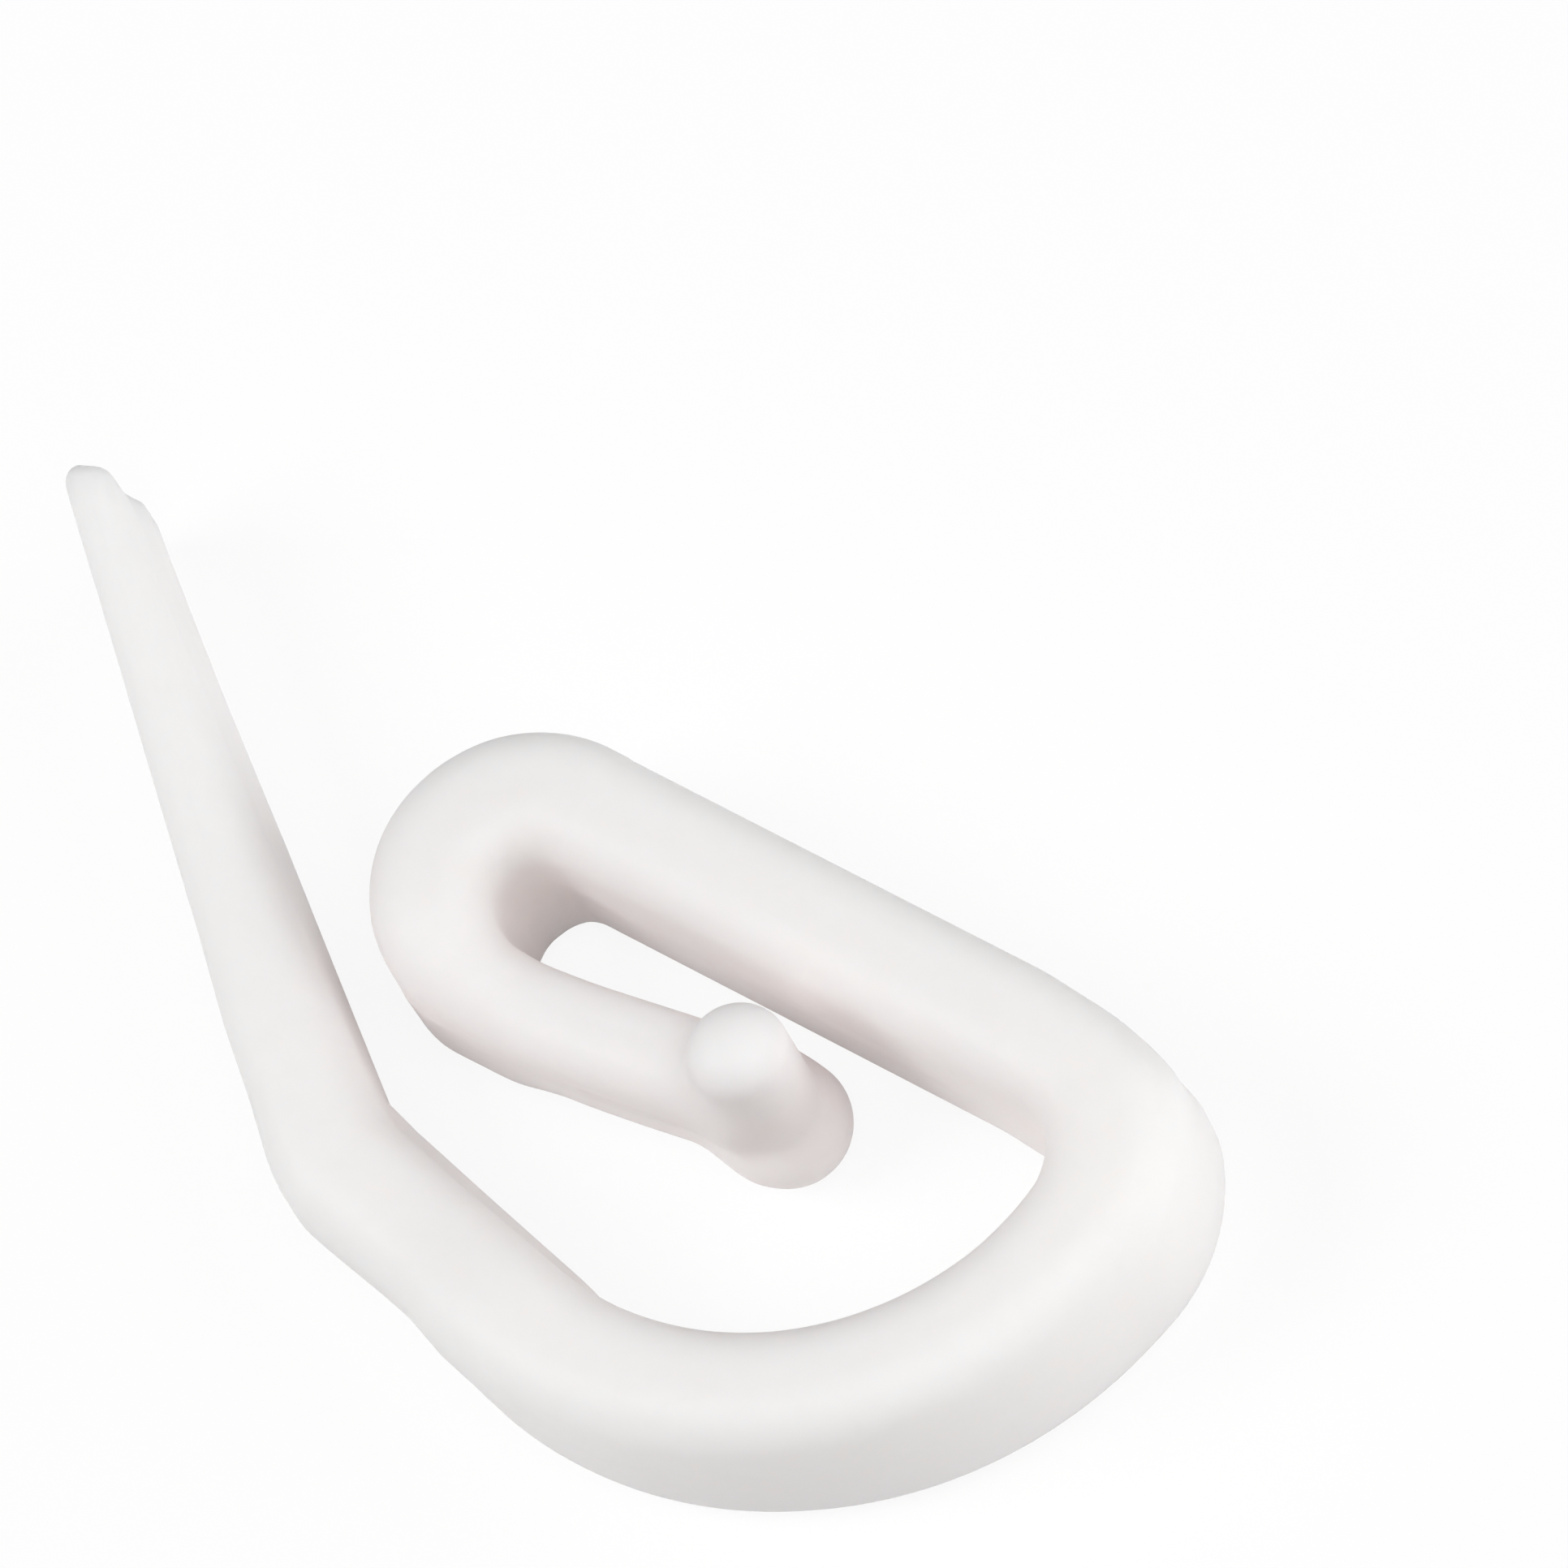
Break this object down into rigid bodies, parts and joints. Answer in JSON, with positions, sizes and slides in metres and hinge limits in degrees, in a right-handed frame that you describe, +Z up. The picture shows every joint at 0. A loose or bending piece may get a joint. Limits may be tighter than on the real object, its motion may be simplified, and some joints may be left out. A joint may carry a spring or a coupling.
{
  "type": "curtain hook",
  "caption": "Moulded plastic curtain hook: a loop with a narrow slot and a pin across its inner end, and a long tapered prong for the heading tape.",
  "frame": {"origin": "middle of the back bar's length and width, on the flat lower face that the hook rests on", "axes": "+X along the back bar towards the turn and the prong's tip, +Y from the back bar into the loop, +Z up through the bar's depth"},
  "size_m": [0.0301, 0.0133, 0.0055],
  "materials": {
    "hook_plastic": "satin off-white moulded plastic"
  },
  "bodies": {
    "root": {"hook": "hook_plastic"}
  },
  "joints": []
}
